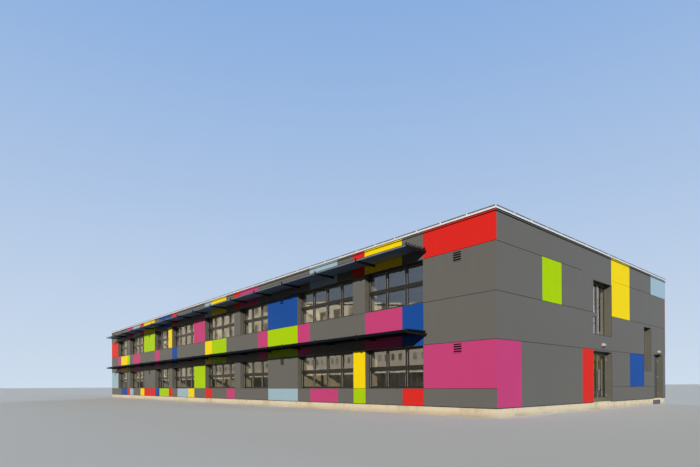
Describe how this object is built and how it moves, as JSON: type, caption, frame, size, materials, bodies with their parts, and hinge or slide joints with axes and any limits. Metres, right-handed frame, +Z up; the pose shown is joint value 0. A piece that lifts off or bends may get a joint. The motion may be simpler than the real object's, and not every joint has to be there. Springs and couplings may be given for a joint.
{
  "type": "school building, 1:2 scale model",
  "caption": "Two-storey school building with coloured facade boards, long window rows, louvred sunshades, a flat roof and doors in the end wall, as a 1:2 scale model",
  "frame": {"origin": "on the ground under the middle of the plan", "axes": "+Z up, +X along the building's length towards the end wall with the doors, -Y out of the long front with the sunshades"},
  "size_m": [25.7538, 10.008, 3.841],
  "materials": {
    "concrete": "cast concrete",
    "roof_membrane": "matt roofing sheet",
    "plinth_concrete": "pale precast concrete",
    "dark_step": "dark concrete",
    "wall_plaster": "plain plaster",
    "board_grey": "matt through-coloured board",
    "board_red": "matt through-coloured board",
    "board_pink": "matt through-coloured board",
    "board_yellow": "matt through-coloured board",
    "board_green": "matt through-coloured board",
    "board_blue": "matt through-coloured board",
    "board_sky": "matt through-coloured board",
    "dark_frame": "satin dark grey",
    "dark_lining": "satin dark grey",
    "window_glass": "clear",
    "dark_steel": "satin dark grey",
    "blade_aluminium": "satin blue-grey",
    "capping_metal": "satin pale grey",
    "grille_metal": "satin dark grey",
    "lamp_glass": "opal white",
    "hinge_steel": "satin",
    "service_grey": "satin dark grey"
  },
  "bodies": {
    "building": {"back_wall_panels": "wall_plaster", "back_wall_piers": "wall_plaster", "back_window_frames": "dark_frame", "back_window_glass": "window_glass", "boards_blue": "board_blue", "boards_green": "board_green", "boards_grey": "board_grey", "boards_pink": "board_pink", "boards_red": "board_red", "boards_sky": "board_sky", "boards_yellow": "board_yellow", "cross_walls": "wall_plaster", "door_frame_hinges": "hinge_steel", "door_frames": "dark_frame", "end_wall_panels": "wall_plaster", "end_wall_piers": "wall_plaster", "end_window_frames": "dark_frame", "end_window_glass": "window_glass", "front_wall_panels": "wall_plaster", "front_wall_piers": "wall_plaster", "front_window_frames": "dark_frame", "front_window_glass": "window_glass", "ground_slab": "concrete", "parapet_capping": "capping_metal", "plinth_beams": "plinth_concrete", "reveal_linings": "dark_lining", "roof_covering": "roof_membrane", "roof_slab": "concrete", "service_step": "dark_step", "sunshade_arms": "dark_steel", "sunshade_blades": "blade_aluminium", "upper_floor_slab": "concrete", "vent_grilles": "grille_metal", "wall_lamps": "lamp_glass"},
    "main_door_left": {"main_door_left_leaf": "dark_frame", "main_door_left_glass": "window_glass", "main_door_left_hinges": "hinge_steel", "main_door_left_pull": "hinge_steel"},
    "main_door_right": {"main_door_right_leaf": "dark_frame", "main_door_right_glass": "window_glass", "main_door_right_hinges": "hinge_steel", "main_door_right_pull": "hinge_steel"},
    "service_door": {"service_door_leaf": "service_grey", "service_door_hinges": "hinge_steel", "service_door_handle": "hinge_steel"}
  },
  "joints": [
    {"name": "main_door_left_hinge", "type": "hinge", "parent": "building", "child": "main_door_left", "pos_m": [12.708, -0.5315, 0.775], "axis": [0, 0, -1], "range_deg": [0, 90]},
    {"name": "main_door_right_hinge", "type": "hinge", "parent": "building", "child": "main_door_right", "pos_m": [12.708, 0.4865, 0.775], "axis": [0, 0, 1], "range_deg": [0, 90]},
    {"name": "service_door_hinge", "type": "hinge", "parent": "building", "child": "service_door", "pos_m": [12.708, 4.3765, 0.825], "axis": [0, 0, 1], "range_deg": [0, 90]}
  ]
}
